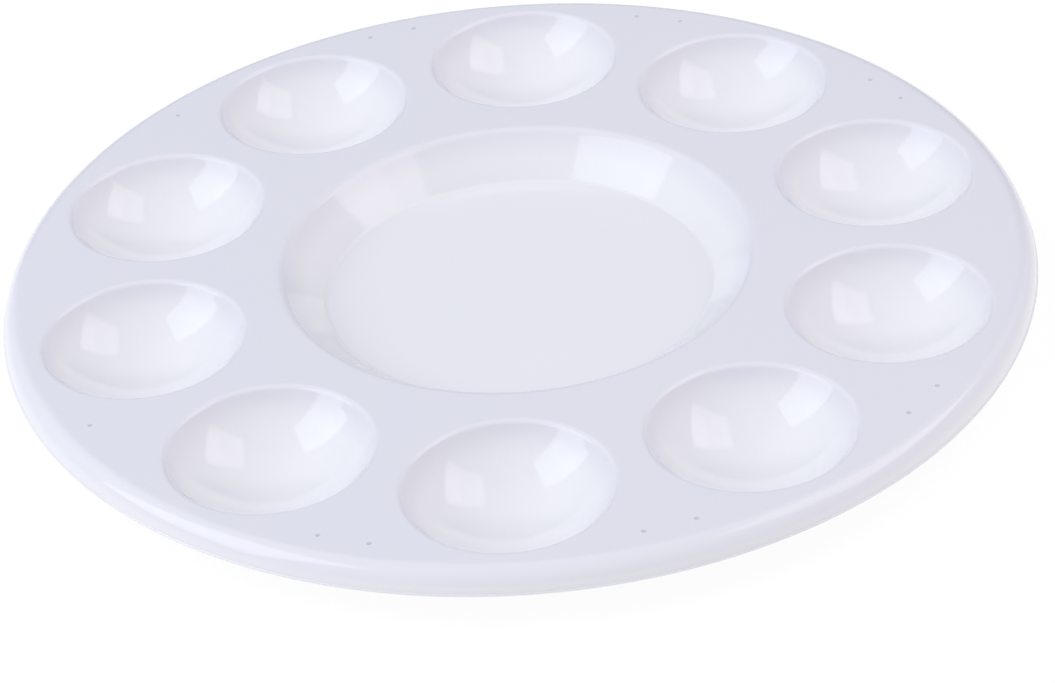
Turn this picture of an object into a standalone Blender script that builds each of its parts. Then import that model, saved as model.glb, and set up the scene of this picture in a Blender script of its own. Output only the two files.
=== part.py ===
"""Round paint-mixing palette, moulded in one piece of plastic.

A flat round deck carries a ring of round paint wells and, in the middle, a shallow mixing dish with a
conical wall and a flat floor. Every mouth is softly rounded, and the wall is about as thick everywhere. The
deck's edge rounds over into a short skirt that flares slightly outwards.

Units are metres and +Z is up. The origin is on the palette's axis, on the surface that the wells' small
flat feet stand on. The first well is on +Y.
"""

import math

import bmesh
import bpy

# Driving dimensions. A mouth's radius is where its wall, carried on straight up, would cut the deck's plane.
OUTER_RADIUS = 0.0850
WALL = 0.0012

WELL_COUNT = 10
WELL_CIRCLE_RADIUS = 0.0629
WELL_MOUTH_RADIUS = 0.01635
WELL_DEPTH = 0.0090
WELL_FOOT_RADIUS = 0.0045
WELL_MOUTH_ROUND = 0.0013
WELL_UNDERSIDE_ROUND = 0.0005

DISH_MOUTH_RADIUS = 0.0390
DISH_FLOOR_RADIUS = 0.0320
DISH_DEPTH = 0.0065
DISH_MOUTH_ROUND = 0.0025
DISH_FLOOR_ROUND = 0.0015

RIM_ROUND = 0.0033
SKIRT_DROP = 0.0039
SKIRT_FLARE = 0.00025

# What follows from them
DECK_TOP = WELL_DEPTH + WALL
DECK_UNDERSIDE = DECK_TOP - WALL
INSIDE_WALL = DECK_TOP - WALL / 2
ABOVE_DECK = DECK_TOP + 0.002

# Facets
RIM_STEPS = 80
DISH_STEPS = 56
WELL_STEPS = 24
RIM_RINGS = 5
BOWL_RINGS = 4
ROUND_RINGS = 3
UNDERSIDE_RINGS = 2


def arc(centre, radius, start, end, steps):
    """Points (r, z) on an arc about a centre; angles in degrees, measured from +r towards +z."""
    points = []
    for i in range(steps + 1):
        angle = math.radians(start + (end - start) * i / steps)
        points.append((centre[0] + radius * math.cos(angle), centre[1] + radius * math.sin(angle)))
    return points


def turned(name, profile, steps):
    """An object turned about Z from a profile of (r, z) points that runs from the axis to the axis."""
    mesh = bpy.data.meshes.new(name)
    work = bmesh.new()
    line = [work.verts.new((r, 0.0, z)) for r, z in profile]
    edges = [work.edges.new(pair) for pair in zip(line, line[1:])]
    bmesh.ops.spin(
        work,
        geom=line + edges,
        cent=(0.0, 0.0, 0.0),
        axis=(0.0, 0.0, 1.0),
        angle=math.tau,
        steps=steps,
        use_merge=True,
    )
    bmesh.ops.remove_doubles(work, verts=work.verts[:], dist=1e-6)
    bmesh.ops.recalc_face_normals(work, faces=work.faces[:])
    work.to_mesh(mesh)
    work.free()
    body = bpy.data.objects.new(name, mesh)
    bpy.context.scene.collection.objects.link(body)
    return body


def bowl_wall(plane_z, mouth_radius, foot_z, foot_radius, mouth_round, round_rings):
    """A spherical bowl's wall, from the plane that its mouth rounds into down to its foot circle."""
    drop = plane_z - foot_z
    centre_z = (mouth_radius**2 - foot_radius**2 + plane_z**2 - foot_z**2) / (2 * drop)
    radius = math.hypot(mouth_radius, plane_z - centre_z)
    round_z = plane_z - mouth_round
    round_r = math.sqrt((radius + mouth_round) ** 2 - (round_z - centre_z) ** 2)
    tangent = math.degrees(math.atan2(round_z - centre_z, round_r))
    end = math.degrees(math.atan2(foot_z - centre_z, foot_radius))
    mouth = arc((round_r, round_z), mouth_round, 90, 180 + tangent, round_rings)
    return mouth + arc((0.0, centre_z), radius, tangent, end, BOWL_RINGS)[1:]


def cone_wall(plane_z, mouth_radius, floor_z, floor_radius, mouth_round, floor_round, round_rings):
    """A conical wall, from the plane its mouth rounds into down to the floor its foot rounds into."""
    slope = math.atan2(plane_z - floor_z, mouth_radius - floor_radius)
    turn = math.degrees(slope)
    mouth_centre = (mouth_radius + mouth_round * math.tan(slope / 2), plane_z - mouth_round)
    floor_centre = (floor_radius - floor_round * math.tan(slope / 2), floor_z + floor_round)
    mouth = arc(mouth_centre, mouth_round, 90, 90 + turn, round_rings)
    return mouth + arc(floor_centre, floor_round, turn - 90, -90, round_rings)


def deck_profile():
    """The deck as a plain disc with its edge rounded over into the skirt."""
    shoulder = OUTER_RADIUS - SKIRT_FLARE - RIM_ROUND
    round_centre = (shoulder, DECK_TOP - RIM_ROUND)
    outer_round = arc(round_centre, RIM_ROUND, 90, 0, RIM_RINGS)
    inner_round = arc(round_centre, RIM_ROUND - WALL, 0, 90, UNDERSIDE_RINGS)
    lip_z = DECK_TOP - SKIRT_DROP
    lip = [(OUTER_RADIUS, lip_z), (OUTER_RADIUS - WALL, lip_z)]
    return [(0.0, DECK_TOP)] + outer_round + lip + inner_round + [(0.0, DECK_UNDERSIDE)]


def raised_to(top_z, wall):
    """A wall closed over the axis at its foot, and carried straight up to a flat top at the given height."""
    closed = wall if wall[-1][0] < 1e-9 else wall + [(0.0, wall[-1][1])]
    return [(0.0, top_z), (wall[0][0], top_z)] + closed


def well_outside_profile():
    """The bowl under the deck, solid, with the small flat foot that it stands on."""
    mouth_radius = WELL_MOUTH_RADIUS + WALL
    mouth_round = WELL_UNDERSIDE_ROUND
    wall = bowl_wall(DECK_UNDERSIDE, mouth_radius, 0.0, WELL_FOOT_RADIUS, mouth_round, UNDERSIDE_RINGS)
    return raised_to(INSIDE_WALL, wall)


def well_hollow_profile():
    """The space that a well's paint fills, with its rounded mouth, carried on above the deck."""
    wall = bowl_wall(DECK_TOP, WELL_MOUTH_RADIUS, WALL, 0.0, WELL_MOUTH_ROUND, ROUND_RINGS)
    return raised_to(ABOVE_DECK, wall)


def dish_outside_profile():
    """The dish under the deck, solid."""
    slope = math.atan2(DISH_DEPTH, DISH_MOUTH_RADIUS - DISH_FLOOR_RADIUS)
    sideways = WALL * math.tan(slope / 2)
    wall = cone_wall(
        DECK_UNDERSIDE,
        DISH_MOUTH_RADIUS + sideways,
        DECK_UNDERSIDE - DISH_DEPTH,
        DISH_FLOOR_RADIUS + sideways,
        DISH_MOUTH_ROUND - WALL,
        DISH_FLOOR_ROUND + WALL,
        UNDERSIDE_RINGS,
    )
    return raised_to(INSIDE_WALL, wall)


def dish_hollow_profile():
    """The space inside the dish, with its rounded mouth, carried on above the deck."""
    wall = cone_wall(
        DECK_TOP,
        DISH_MOUTH_RADIUS,
        DECK_TOP - DISH_DEPTH,
        DISH_FLOOR_RADIUS,
        DISH_MOUTH_ROUND,
        DISH_FLOOR_ROUND,
        ROUND_RINGS,
    )
    return raised_to(ABOVE_DECK, wall)


def gathered(name, members):
    """The members as hidden helpers in a collection of their own."""
    group = bpy.data.collections.new(name)
    bpy.context.scene.collection.children.link(group)
    for member in members:
        bpy.context.scene.collection.objects.unlink(member)
        group.objects.link(member)
        member.hide_render = True
        member.display_type = "WIRE"
    return group


def well_ring(name, profile):
    """One copy of a turned shape at each well."""
    first = turned(name, profile, WELL_STEPS)
    ring = [first]
    for _ in range(WELL_COUNT - 1):
        copy = bpy.data.objects.new(name, first.data)
        bpy.context.scene.collection.objects.link(copy)
        ring.append(copy)
    for index, member in enumerate(ring):
        angle = math.pi / 2 - math.tau * index / WELL_COUNT
        member.location = (WELL_CIRCLE_RADIUS * math.cos(angle), WELL_CIRCLE_RADIUS * math.sin(angle), 0.0)
        member.rotation_euler = (0.0, 0.0, angle)
    return ring


def combine(body, name, operation, group):
    """A Boolean step between the body and everything in a collection."""
    step = body.modifiers.new(name, "BOOLEAN")
    step.operation = operation
    step.solver = "EXACT"
    step.operand_type = "COLLECTION"
    step.collection = group


def gloss_white():
    """Opaque glossy white plastic."""
    material = bpy.data.materials.new("gloss_white_plastic")
    material.use_nodes = True
    shader = material.node_tree.nodes["Principled BSDF"]
    shader.inputs["Base Color"].default_value = (0.86, 0.86, 0.88, 1.0)
    shader.inputs["Roughness"].default_value = 0.16
    shader.inputs["Metallic"].default_value = 0.0
    return material


def main():
    for old in list(bpy.data.objects):
        bpy.data.objects.remove(old, do_unlink=True)

    palette = turned("palette", deck_profile(), RIM_STEPS)
    outsides = well_ring("well_outside", well_outside_profile())
    outsides.append(turned("dish_outside", dish_outside_profile(), DISH_STEPS))
    hollows = well_ring("well_hollow", well_hollow_profile())
    hollows.append(turned("dish_hollow", dish_hollow_profile(), DISH_STEPS))

    combine(palette, "add wells and dish", "UNION", gathered("outsides", outsides))
    combine(palette, "hollow wells and dish", "DIFFERENCE", gathered("hollows", hollows))
    palette.data.materials.append(gloss_white())
    palette.data.shade_smooth()
    palette.data.set_sharp_from_angle(angle=math.radians(35))


main()
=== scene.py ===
"""Looks for a round paint-mixing palette, moulded in one piece of glossy white plastic.

One fine, closed mesh stands for the whole moulding: an upper skin with ten wells, a dish and some tiny
moulding marks, a lower skin with the wells' and the dish's outsides, and the rim that joins the two. It
stands where the CAD node stands, and every length is in metres in the CAD frame, with +Z up and the first
well on +Y.
"""

import math

import bpy
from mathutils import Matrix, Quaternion, Vector
from mathutils.geometry import delaunay_2d_cdt


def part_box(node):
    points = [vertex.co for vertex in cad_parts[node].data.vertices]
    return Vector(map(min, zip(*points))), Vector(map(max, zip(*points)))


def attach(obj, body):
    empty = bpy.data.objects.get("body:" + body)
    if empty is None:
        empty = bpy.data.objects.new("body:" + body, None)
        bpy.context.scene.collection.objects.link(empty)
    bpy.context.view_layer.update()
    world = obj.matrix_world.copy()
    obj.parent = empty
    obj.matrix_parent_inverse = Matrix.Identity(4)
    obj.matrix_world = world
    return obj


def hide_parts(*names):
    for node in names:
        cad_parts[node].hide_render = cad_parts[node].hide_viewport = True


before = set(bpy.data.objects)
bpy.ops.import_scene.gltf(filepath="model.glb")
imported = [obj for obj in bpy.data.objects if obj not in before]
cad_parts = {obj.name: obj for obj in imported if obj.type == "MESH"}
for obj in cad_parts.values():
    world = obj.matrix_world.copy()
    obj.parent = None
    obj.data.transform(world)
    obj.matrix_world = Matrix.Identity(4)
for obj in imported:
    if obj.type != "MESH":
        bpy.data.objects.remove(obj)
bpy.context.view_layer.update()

# The moulding's sizes. Overall radius and height come from the CAD box.
LOW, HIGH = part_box("palette")
OUTER_RADIUS = (HIGH.x - LOW.x) / 2
DECK_TOP = HIGH.z
WALL = 0.0012
DECK_UNDERSIDE = DECK_TOP - WALL

# A mouth's radius is where its wall, carried on straight up, would cut the deck's plane.
WELL_COUNT = 10
WELL_CIRCLE_RADIUS = 0.0629
WELL_RADIUS = 0.01635
WELL_DEPTH = 0.0090
WELL_FOOT_RADIUS = 0.0045
WELL_MOUTH_ROUND = 0.0013
WELL_UNDERSIDE_ROUND = 0.0005

DISH_RADIUS = 0.0390
DISH_FLOOR_RADIUS = 0.0320
DISH_DEPTH = 0.0065
DISH_MOUTH_ROUND = 0.0025
DISH_FLOOR_ROUND = 0.0015

RIM_ROUND = 0.0033
SKIRT_DROP = 0.0039
SKIRT_FLARE = 0.00025
LIP_ROUND = 0.0004

# Tiny moulding marks on the deck, beside the middle of most gaps between wells. The gaps are counted
# clockwise from the first well, and a side of 1 is the clockwise one.
MARK_CIRCLE_RADIUS = 0.0784
MARK_ANGLE = 3.0
MARK_RADIUS = 0.00045
MARK_DEPTH = 0.00012
MARKED_SIDES = {0: (-1, 1), 1: (-1, 1), 3: (-1, 1), 4: (-1, 1), 5: (-1, 1), 6: (1,), 8: (1,), 9: (-1, 1)}

# How finely each round stretch is divided: around the axis, and along a profile
WELL_STEPS = 96
DISH_STEPS = 192
RIM_STEPS = 288
MARK_STEPS = 16
ROUND_STEPS = 11
LIP_STEPS = 10
MARK_RINGS = 6
# Rings on the dish's flat floor and on a well's foot, as shares of their radius, and down the skirt, as
# shares of the way from the rim's round to the lip
FLOOR_RINGS = (0.97, 0.85, 0.7, 0.55, 0.4, 0.25, 0.12, 0.0)
FOOT_RINGS = (0.9, 0.5, 0.0)
SKIRT_RINGS = (0.35, 0.7)

# The flat deck's triangles, the space they leave beside a ring, and a narrow flat band around each mouth
DECK_SPACING = 0.0024
RING_CLEARANCE = 0.6 * DECK_SPACING
FLAT_MARGIN = 0.0002
TRIANGLES_INSIDE = 1  # what delaunay_2d_cdt is asked for

# Tolerances: a radius that counts as the axis, a gap between spots that count as one, and a height under
# which a point of a mark counts as inside it
ON_AXIS = 1e-9
SAME_SPOT = 1e-7
BELOW_DECK = DECK_TOP - 1e-6

# The plastic: linear colours, each noise's scale per metre and detail, and how deep the bumps are
PLASTIC_TINTS = ((0.812, 0.800, 0.850), (0.830, 0.812, 0.856))
CLOUDS = (22.0, 3.0)
# Painted shade: the deck is coloured darker than the wells and the dish, fading in from 4 mm under its top
DECK_PAINTED_SHADE = (0.922, 0.920, 0.952)
DECK_PAINTED_SHADE_STARTS = DECK_TOP - 0.0040
DECK_PAINTED_SHADE_FULL = DECK_TOP - 0.0001
MARK_SHADE = (0.78, 0.78, 0.80)
WAVES = (90.0, 1.0)
WAVE_DEPTH = 0.00002
PEEL = (900.0, 2.0)
PEEL_DEPTH = 0.000002
SMOOTHEST = 0.05
ROUGHEST = 0.07
PLASTIC_IOR = 1.49

# The floor gives off light of its own, which keeps it near white around the palette.
FLOOR_HALF_WIDTH = 4.0
FLOOR_GREY = 0.16
FLOOR_ROUGHNESS = 0.9
FLOOR_GLOW = 0.86

# The surroundings: an evenly lit room, darker behind and in front and brighter on the left. Each patch has
# its azimuth and elevation, the angles from its middle where its fade starts and ends, and what it adds.
# Angles are in degrees, and azimuths run from +X towards +Y.
ROOM = (0.80, 0.81, 0.835)
PATCHES = (
    (92, 20, 24, 41, (-0.69, -0.64, -0.61)),
    (270, 15, 15, 50, (-0.26, -0.26, -0.26)),
    (174, 44, 2, 38, (0.42, 0.48, 0.48)),
)

# Two softboxes, each with a second, smaller light that brightens part of it: name, azimuth, distance from
# the palette's axis, height, the height it aims at, width, length, radiance and colour
SOFTBOXES = (
    ("key_softbox", -163.8, 0.785, 0.793, 0.516, 0.676, 0.94, 1.75, (0.90, 1.0, 1.06)),
    ("key_core", -163.8, 0.86, 0.70, 0.41, 0.58, 0.30, 0.25, (1.0, 1.0, 1.0)),
    ("fill_softbox", 11.5, 0.602, 0.947, 0.660, 0.712, 0.73, 1.30, (1.06, 1.0, 0.95)),
    ("fill_core", 14.0, 0.70, 0.73, 0.40, 0.50, 0.22, 0.50, (1.06, 1.0, 0.95)),
)

# The camera: sensor width and lens in millimetres, roll in degrees
CAMERA_PLACE = (0.03382, -0.49682, 0.33833)
CAMERA_TARGET = (0.00221, -0.02489, 0.00970)
CAMERA_ROLL = -4.924
CAMERA_SENSOR = 36.0
CAMERA_LENS = 123.73
CAMERA_CLIP_START = 0.01


# ---------------------------------------------------------------- profiles, as (radius, height) points


def arc(centre, radius, start, end, steps):
    """Points on an arc; angles in degrees, measured from outwards towards up."""
    points = []
    for i in range(steps + 1):
        angle = math.radians(start + (end - start) * i / steps)
        points.append((centre[0] + radius * math.cos(angle), centre[1] + radius * math.sin(angle)))
    return points


def angle_to(start, end):
    """The direction from one profile point to another, in degrees."""
    return math.degrees(math.atan2(end[1] - start[1], end[0] - start[0]))


def between(start, end, share):
    """The profile point at a share of the way from one point to another."""
    return (start[0] + (end[0] - start[0]) * share, start[1] + (end[1] - start[1]) * share)


def with_flat_margin(profile):
    """The same profile with a first point a little further out, which keeps the flat's shading flat."""
    return [(profile[0][0] + FLAT_MARGIN, profile[0][1])] + profile


def bowl_skin(plane_z, mouth_radius, low_z, foot_radius, mouth_round):
    """A spherical bowl under a flat plane, with its mouth rounded into the plane, down to its foot circle."""
    drop = plane_z - low_z
    centre_z = (mouth_radius**2 - foot_radius**2 + plane_z**2 - low_z**2) / (2 * drop)
    centre = (0.0, centre_z)
    radius = math.hypot(mouth_radius, plane_z - centre_z)
    round_z = plane_z - mouth_round
    round_r = math.sqrt((radius + mouth_round) ** 2 - (round_z - centre_z) ** 2)
    meets = 180 + angle_to(centre, (round_r, round_z))
    edge = arc((round_r, round_z), mouth_round, 90, meets, ROUND_STEPS)
    start = angle_to(centre, edge[-1])
    end = angle_to(centre, (foot_radius, low_z))
    return with_flat_margin(edge + arc(centre, radius, start, end, 2 * ROUND_STEPS)[1:])


def well_top():
    """A well's inside, from the deck to the middle of its bottom."""
    return bowl_skin(DECK_TOP, WELL_RADIUS, DECK_TOP - WELL_DEPTH, 0.0, WELL_MOUTH_ROUND)


def well_under():
    """A well's outside, from the deck's underside to the middle of its foot."""
    outside = bowl_skin(DECK_UNDERSIDE, WELL_RADIUS + WALL, 0.0, WELL_FOOT_RADIUS, WELL_UNDERSIDE_ROUND)
    return outside + [(WELL_FOOT_RADIUS * share, 0.0) for share in FOOT_RINGS]


def dish_skin(top_z, top_radius, floor_z, floor_radius, mouth_round, floor_round):
    """A conical wall with a rounded mouth and a rounded corner, and the flat floor in to its middle."""
    slope = math.atan2(top_z - floor_z, top_radius - floor_radius)
    turn = math.degrees(slope)
    mouth_reach = mouth_round * math.tan(slope / 2)
    floor_reach = floor_round * math.tan(slope / 2)
    mouth = arc((top_radius + mouth_reach, top_z - mouth_round), mouth_round, 90, 90 + turn, ROUND_STEPS)
    corner_middle = (floor_radius - floor_reach, floor_z + floor_round)
    corner = arc(corner_middle, floor_round, turn - 90, -90, ROUND_STEPS)
    floor = [(corner[-1][0] * share, floor_z) for share in FLOOR_RINGS]
    return with_flat_margin(mouth + corner) + floor


def dish_top():
    """The mixing dish's inside, from the deck to the middle of its floor."""
    floor_z = DECK_TOP - DISH_DEPTH
    return dish_skin(DECK_TOP, DISH_RADIUS, floor_z, DISH_FLOOR_RADIUS, DISH_MOUTH_ROUND, DISH_FLOOR_ROUND)


def dish_under():
    """The mixing dish's outside, from the deck's underside to the middle of its base."""
    slope = math.atan2(DISH_DEPTH, DISH_RADIUS - DISH_FLOOR_RADIUS)
    sideways = WALL * math.tan(slope / 2)
    return dish_skin(
        DECK_UNDERSIDE,
        DISH_RADIUS + sideways,
        DECK_TOP - DISH_DEPTH - WALL,
        DISH_FLOOR_RADIUS + sideways,
        DISH_MOUTH_ROUND - WALL,
        DISH_FLOOR_ROUND + WALL,
    )


def rim():
    """From the deck's flat top over the shoulder, down the skirt, round its lip and back to the underside."""
    shoulder = OUTER_RADIUS - SKIRT_FLARE - RIM_ROUND
    middle = (shoulder, DECK_TOP - RIM_ROUND)
    over = [(shoulder - FLAT_MARGIN, DECK_TOP)] + arc(middle, RIM_ROUND, 90, 0, 2 * ROUND_STEPS)
    lip_middle = (OUTER_RADIUS - LIP_ROUND, DECK_TOP - SKIRT_DROP + LIP_ROUND)
    lip = arc(lip_middle, LIP_ROUND, 0, -180, LIP_STEPS)
    down = []
    for share in SKIRT_RINGS:
        flared = shoulder + RIM_ROUND + SKIRT_FLARE * share**2
        down.append((flared, middle[1] + (lip_middle[1] - middle[1]) * share))
    inner_top = (shoulder + RIM_ROUND - WALL, middle[1])
    up = [between(inner_top, lip[-1], share) for share in reversed(SKIRT_RINGS)]
    under = arc(middle, RIM_ROUND - WALL, 0, 90, ROUND_STEPS)
    return over + down + lip + up + under + [(shoulder - FLAT_MARGIN, DECK_UNDERSIDE)]


def mark_top():
    """A moulding mark: a tiny dimple that starts level with the deck and is deepest in its middle."""
    dip = []
    for i in range(MARK_RINGS, -1, -1):
        share = i / MARK_RINGS
        dip.append((MARK_RADIUS * share, DECK_TOP - MARK_DEPTH * math.cos(share * math.pi / 2) ** 2))
    return with_flat_margin(dip)


# ---------------------------------------------------------------- the moulding's mesh


def deck_grid(reach, holes):
    """A triangular grid of spots on the flat deck, clear of its outer ring and of the holes."""
    limit = reach - RING_CLEARANCE
    row_height = DECK_SPACING * math.sqrt(3) / 2
    rows = int(limit / row_height)
    across = int(limit / DECK_SPACING) + 1
    spots = []
    for row in range(-rows, rows + 1):
        offset = DECK_SPACING / 2 if row % 2 else 0.0
        for column in range(-across, across + 1):
            spot = Vector((column * DECK_SPACING + offset, row * row_height))
            gaps = [(spot - Vector(centre)).length - radius for _, centre, radius in holes]
            if spot.length < limit and min(gaps) >= RING_CLEARANCE:
                spots.append(spot)
    return spots


class Skin:
    """The vertices and faces of one closed surface."""

    def __init__(self):
        self.points = []
        self.faces = []

    def ring(self, centre, radius, z, steps):
        """The vertices of one level ring. Returns their numbers."""
        first = len(self.points)
        for i in range(steps):
            angle = math.tau * i / steps
            x = centre[0] + radius * math.cos(angle)
            y = centre[1] + radius * math.sin(angle)
            self.points.append((x, y, z))
        return list(range(first, first + steps))

    def turn(self, centre, profile, steps, flip):
        """Faces turned from a profile, with one vertex where it meets the axis. Returns its end rings."""
        rings = []
        for r, z in profile:
            if r > ON_AXIS:
                rings.append(self.ring(centre, r, z, steps))
            else:
                self.points.append((centre[0], centre[1], z))
                rings.append([len(self.points) - 1] * steps)
        for outer, inner in zip(rings, rings[1:]):
            for i in range(steps):
                j = (i + 1) % steps
                face = [outer[i], outer[j], inner[j], inner[i]]
                if inner[i] == inner[j]:
                    face = face[:3]
                self.faces.append(face[::-1] if flip else face)
        return rings[0], rings[-1]

    def hollow(self, centre, profile, steps, flip):
        """A well, dish or mark turned from its profile. Returns its mouth's ring, centre and radius."""
        mouth, _ = self.turn(centre, profile, steps, flip)
        return mouth, centre, profile[0][0]

    def fill(self, outer, holes, z, flip):
        """The flat area inside one ring and outside the holes, given as (ring, centre, radius)."""
        corners, edges, owner, hole_of = [], [], [], []
        for number, loop in enumerate([outer] + [ring for ring, _, _ in holes]):
            first = len(corners)
            corners += [Vector(self.points[v][:2]) for v in loop]
            owner += loop
            hole_of += [number] * len(loop)
            edges += [(first + i, first + (i + 1) % len(loop)) for i in range(len(loop))]
        corners += deck_grid(corners[0].length, holes)
        found, _, triangles, origins, _, _ = delaunay_2d_cdt(
            corners, edges, [], TRIANGLES_INSIDE, SAME_SPOT
        )
        index, hole = [], []
        for spot, sources in zip(found, origins):
            owned = [s for s in sources if s < len(owner)]
            if owned:
                index.append(owner[owned[0]])
                hole.append(hole_of[owned[0]])
            else:
                self.points.append((spot.x, spot.y, z))
                index.append(len(self.points) - 1)
                hole.append(0)
        for triangle in triangles:
            # Holes are round, so a triangle with all three corners on one hole's ring lies in that hole.
            numbers = {hole[v] for v in triangle}
            if len(numbers) == 1 and 0 not in numbers:
                continue
            face = [index[v] for v in triangle]
            self.faces.append(face[::-1] if flip else face)


def around(radius, angle):
    """The point at a radius from the palette's axis; angles in degrees clockwise from the first well."""
    turned = math.radians(90 - angle)
    return (radius * math.cos(turned), radius * math.sin(turned))


def build_moulding():
    """The whole moulding as one piece. Its attribute "mark" is 1 inside the marks and 0 elsewhere."""
    skin = Skin()
    axis = (0.0, 0.0)
    well_places = [around(WELL_CIRCLE_RADIUS, 360 * k / WELL_COUNT) for k in range(WELL_COUNT)]
    mark_places = [
        around(MARK_CIRCLE_RADIUS, 360 * (k + 0.5) / WELL_COUNT + side * MARK_ANGLE)
        for k, sides in MARKED_SIDES.items()
        for side in sides
    ]

    top_edge, under_edge = skin.turn(axis, rim(), RIM_STEPS, flip=True)

    top = [skin.hollow(place, well_top(), WELL_STEPS, flip=False) for place in well_places]
    top.append(skin.hollow(axis, dish_top(), DISH_STEPS, flip=False))
    before_marks = len(skin.points)
    top += [skin.hollow(place, mark_top(), MARK_STEPS, flip=False) for place in mark_places]
    mark_points = range(before_marks, len(skin.points))
    skin.fill(top_edge, top, DECK_TOP, flip=False)

    under = [skin.hollow(place, well_under(), WELL_STEPS, flip=True) for place in well_places]
    under.append(skin.hollow(axis, dish_under(), DISH_STEPS, flip=True))
    skin.fill(under_edge, under, DECK_UNDERSIDE, flip=True)

    mesh = bpy.data.meshes.new("palette_moulding")
    mesh.from_pydata(skin.points, [], skin.faces)
    mesh.validate()
    mesh.shade_smooth()
    in_mark = [float(i in mark_points and point[2] < BELOW_DECK) for i, point in enumerate(skin.points)]
    mesh.attributes.new("mark", "FLOAT", "POINT").data.foreach_set("value", in_mark)
    piece = bpy.data.objects.new("palette_moulding", mesh)
    bpy.context.scene.collection.objects.link(piece)
    return piece


# ---------------------------------------------------------------- materials


def new_material(name):
    """A new node material, with its node tree and its Principled shader."""
    material = bpy.data.materials.new(name)
    material.use_nodes = True
    tree = material.node_tree
    return material, tree, tree.nodes["Principled BSDF"]


def noise(tree, place, scale, detail):
    """The value of a noise texture in the object's own coordinates."""
    texture = tree.nodes.new("ShaderNodeTexNoise")
    texture.inputs["Scale"].default_value = scale
    texture.inputs["Detail"].default_value = detail
    tree.links.new(place.outputs["Object"], texture.inputs["Vector"])
    return texture.outputs["Fac"]


def shaded(tree, base, amount, shade):
    """A base colour multiplied by a shade, by the amount that another socket gives."""
    mix = tree.nodes.new("ShaderNodeMix")
    mix.data_type = "RGBA"
    mix.blend_type = "MULTIPLY"
    mix.inputs["B"].default_value = (*shade, 1.0)
    tree.links.new(amount, mix.inputs["Factor"])
    tree.links.new(base, mix.inputs["A"])
    return mix.outputs["Result"]


def bumped(tree, height, depth):
    """A bump node for a height that runs from 0 to 1 over a depth in metres."""
    bump = tree.nodes.new("ShaderNodeBump")
    bump.inputs["Strength"].default_value = 1.0
    bump.inputs["Distance"].default_value = depth
    tree.links.new(height, bump.inputs["Height"])
    return bump


def plastic_colour(tree, place):
    """Faintly clouded white, with painted shade that makes the deck a little darker than the wells and the
    dish, and darker again in the moulding marks.
    """
    tint = tree.nodes.new("ShaderNodeMix")
    tint.data_type = "RGBA"
    tint.inputs["A"].default_value = (*PLASTIC_TINTS[0], 1.0)
    tint.inputs["B"].default_value = (*PLASTIC_TINTS[1], 1.0)
    tree.links.new(noise(tree, place, *CLOUDS), tint.inputs["Factor"])

    # Painted shade: the deck's colour is darkened by height, against the wells and the dish
    height = tree.nodes.new("ShaderNodeSeparateXYZ")
    tree.links.new(place.outputs["Object"], height.inputs["Vector"])
    painted_deck_shade = tree.nodes.new("ShaderNodeMapRange")
    painted_deck_shade.interpolation_type = "SMOOTHSTEP"
    painted_deck_shade.inputs["From Min"].default_value = DECK_PAINTED_SHADE_STARTS
    painted_deck_shade.inputs["From Max"].default_value = DECK_PAINTED_SHADE_FULL
    tree.links.new(height.outputs["Z"], painted_deck_shade.inputs["Value"])
    in_mark = tree.nodes.new("ShaderNodeAttribute")
    in_mark.attribute_name = "mark"

    deck = shaded(tree, tint.outputs["Result"], painted_deck_shade.outputs["Result"], DECK_PAINTED_SHADE)
    return shaded(tree, deck, in_mark.outputs["Fac"], MARK_SHADE)


def white_plastic():
    """Glossy white plastic with slow waves and fine orange peel in its surface."""
    material, tree, shader = new_material("white_plastic")
    link = tree.links.new
    place = tree.nodes.new("ShaderNodeTexCoord")
    link(plastic_colour(tree, place), shader.inputs["Base Color"])

    peel = noise(tree, place, *PEEL)
    slow = bumped(tree, noise(tree, place, *WAVES), WAVE_DEPTH)
    fast = bumped(tree, peel, PEEL_DEPTH)
    link(slow.outputs["Normal"], fast.inputs["Normal"])
    link(fast.outputs["Normal"], shader.inputs["Normal"])

    gloss = tree.nodes.new("ShaderNodeMapRange")
    gloss.inputs["To Min"].default_value = SMOOTHEST
    gloss.inputs["To Max"].default_value = ROUGHEST
    link(peel, gloss.inputs["Value"])
    link(gloss.outputs["Result"], shader.inputs["Roughness"])
    shader.inputs["IOR"].default_value = PLASTIC_IOR
    return material


def pale_floor():
    """A smooth, matt white studio floor."""
    material, _, shader = new_material("studio_floor")
    shader.inputs["Base Color"].default_value = (FLOOR_GREY, FLOOR_GREY, FLOOR_GREY, 1.0)
    shader.inputs["Roughness"].default_value = FLOOR_ROUGHNESS
    shader.inputs["Specular IOR Level"].default_value = 0.0
    shader.inputs["Emission Color"].default_value = (1.0, 1.0, 1.0, 1.0)
    shader.inputs["Emission Strength"].default_value = FLOOR_GLOW
    return material


# ---------------------------------------------------------------- the studio


def aimed(obj, place, target):
    """Puts a camera or light at a place and turns it to face a target."""
    obj.location = place
    obj.rotation_euler = (Vector(target) - Vector(place)).to_track_quat("-Z", "Y").to_euler()
    bpy.context.scene.collection.objects.link(obj)
    return obj


def softbox(name, azimuth, reach, height, aim_height, width, length, radiance, colour):
    """A rectangular light beside the palette. Its radiance is what a mirror would show of it."""
    light = bpy.data.lights.new(name, "AREA")
    light.shape = "RECTANGLE"
    light.size = width
    light.size_y = length
    light.energy = radiance * math.pi * width * length
    light.color = colour
    turned = math.radians(azimuth)
    place = (reach * math.cos(turned), reach * math.sin(turned), height)
    return aimed(bpy.data.objects.new(name, light), place, (0.0, 0.0, aim_height))


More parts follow.
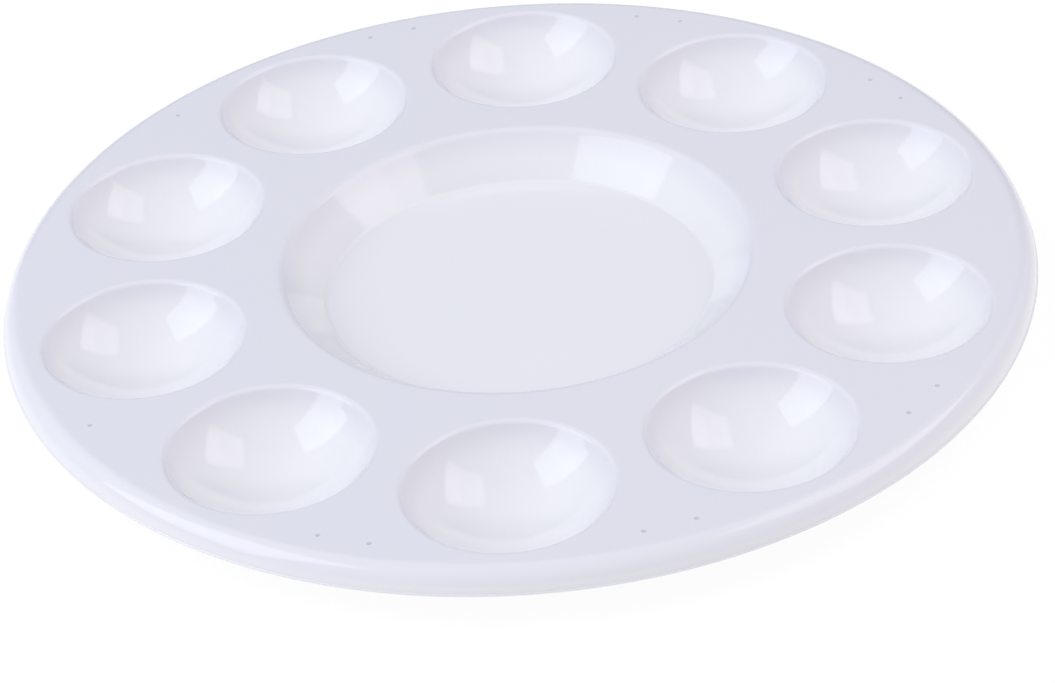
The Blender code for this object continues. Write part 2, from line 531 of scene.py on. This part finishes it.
def patch(tree, sky, light, azimuth, elevation, core, edge, radiance):
    """The light from the surroundings with one more patch, which fades smoothly away from its middle."""
    link = tree.links.new
    turned = math.radians(azimuth)
    raised = math.radians(elevation)
    middle = (math.cos(raised) * math.cos(turned), math.cos(raised) * math.sin(turned), math.sin(raised))
    toward = tree.nodes.new("ShaderNodeVectorMath")
    toward.operation = "DOT_PRODUCT"
    toward.inputs[1].default_value = middle
    link(sky.outputs["Generated"], toward.inputs[0])
    angle = tree.nodes.new("ShaderNodeMath")
    angle.operation = "ARCCOSINE"
    link(toward.outputs["Value"], angle.inputs[0])
    fade = tree.nodes.new("ShaderNodeMapRange")
    fade.interpolation_type = "SMOOTHSTEP"
    fade.inputs["From Min"].default_value = math.radians(edge)
    fade.inputs["From Max"].default_value = math.radians(core)
    link(angle.outputs["Value"], fade.inputs["Value"])
    added = tree.nodes.new("ShaderNodeVectorMath")
    added.operation = "MULTIPLY_ADD"
    added.inputs[1].default_value = radiance
    link(fade.outputs["Result"], added.inputs[0])
    link(light, added.inputs[2])
    return added.outputs["Vector"]


def surroundings():
    """An even room with soft bright and dark patches."""
    world = bpy.data.worlds.new("studio")
    world.use_nodes = True
    tree = world.node_tree
    sky = tree.nodes.new("ShaderNodeTexCoord")
    room = tree.nodes.new("ShaderNodeRGB")
    room.outputs["Color"].default_value = (*ROOM, 1.0)
    light = room.outputs["Color"]
    for values in PATCHES:
        light = patch(tree, sky, light, *values)
    tree.links.new(light, tree.nodes["Background"].inputs["Color"])
    return world


def build_floor():
    """A wide flat square that the palette stands on."""
    half = FLOOR_HALF_WIDTH
    corners = [(-half, -half, 0.0), (half, -half, 0.0), (half, half, 0.0), (-half, half, 0.0)]
    mesh = bpy.data.meshes.new("floor")
    mesh.from_pydata(corners, [], [(0, 1, 2, 3)])
    mesh.materials.append(pale_floor())
    floor = bpy.data.objects.new("floor", mesh)
    floor.location.z = LOW.z
    bpy.context.scene.collection.objects.link(floor)
    return floor


def build_studio():
    """Floor, soft surroundings and two softboxes: a cool one on the left and a warm one on the right."""
    build_floor()
    bpy.context.scene.world = surroundings()
    for values in SOFTBOXES:
        softbox(*values)


def build_camera():
    """The viewpoint: in front of the palette, looking down at about 35 degrees, rolled slightly."""
    camera = bpy.data.cameras.new("camera")
    camera.sensor_width = CAMERA_SENSOR
    camera.lens = CAMERA_LENS
    camera.clip_start = CAMERA_CLIP_START
    viewer = aimed(bpy.data.objects.new("camera", camera), CAMERA_PLACE, CAMERA_TARGET)
    roll = Quaternion((0.0, 0.0, 1.0), math.radians(CAMERA_ROLL))
    viewer.rotation_euler = (viewer.rotation_euler.to_quaternion() @ roll).to_euler()
    bpy.context.scene.camera = viewer


def main():
    """The moulding in place of the CAD node, in its studio."""
    moulding = build_moulding()
    moulding.data.materials.append(white_plastic())
    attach(moulding, "root")
    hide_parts("palette")
    build_studio()
    build_camera()
    bpy.context.scene.view_settings.view_transform = "Standard"


main()
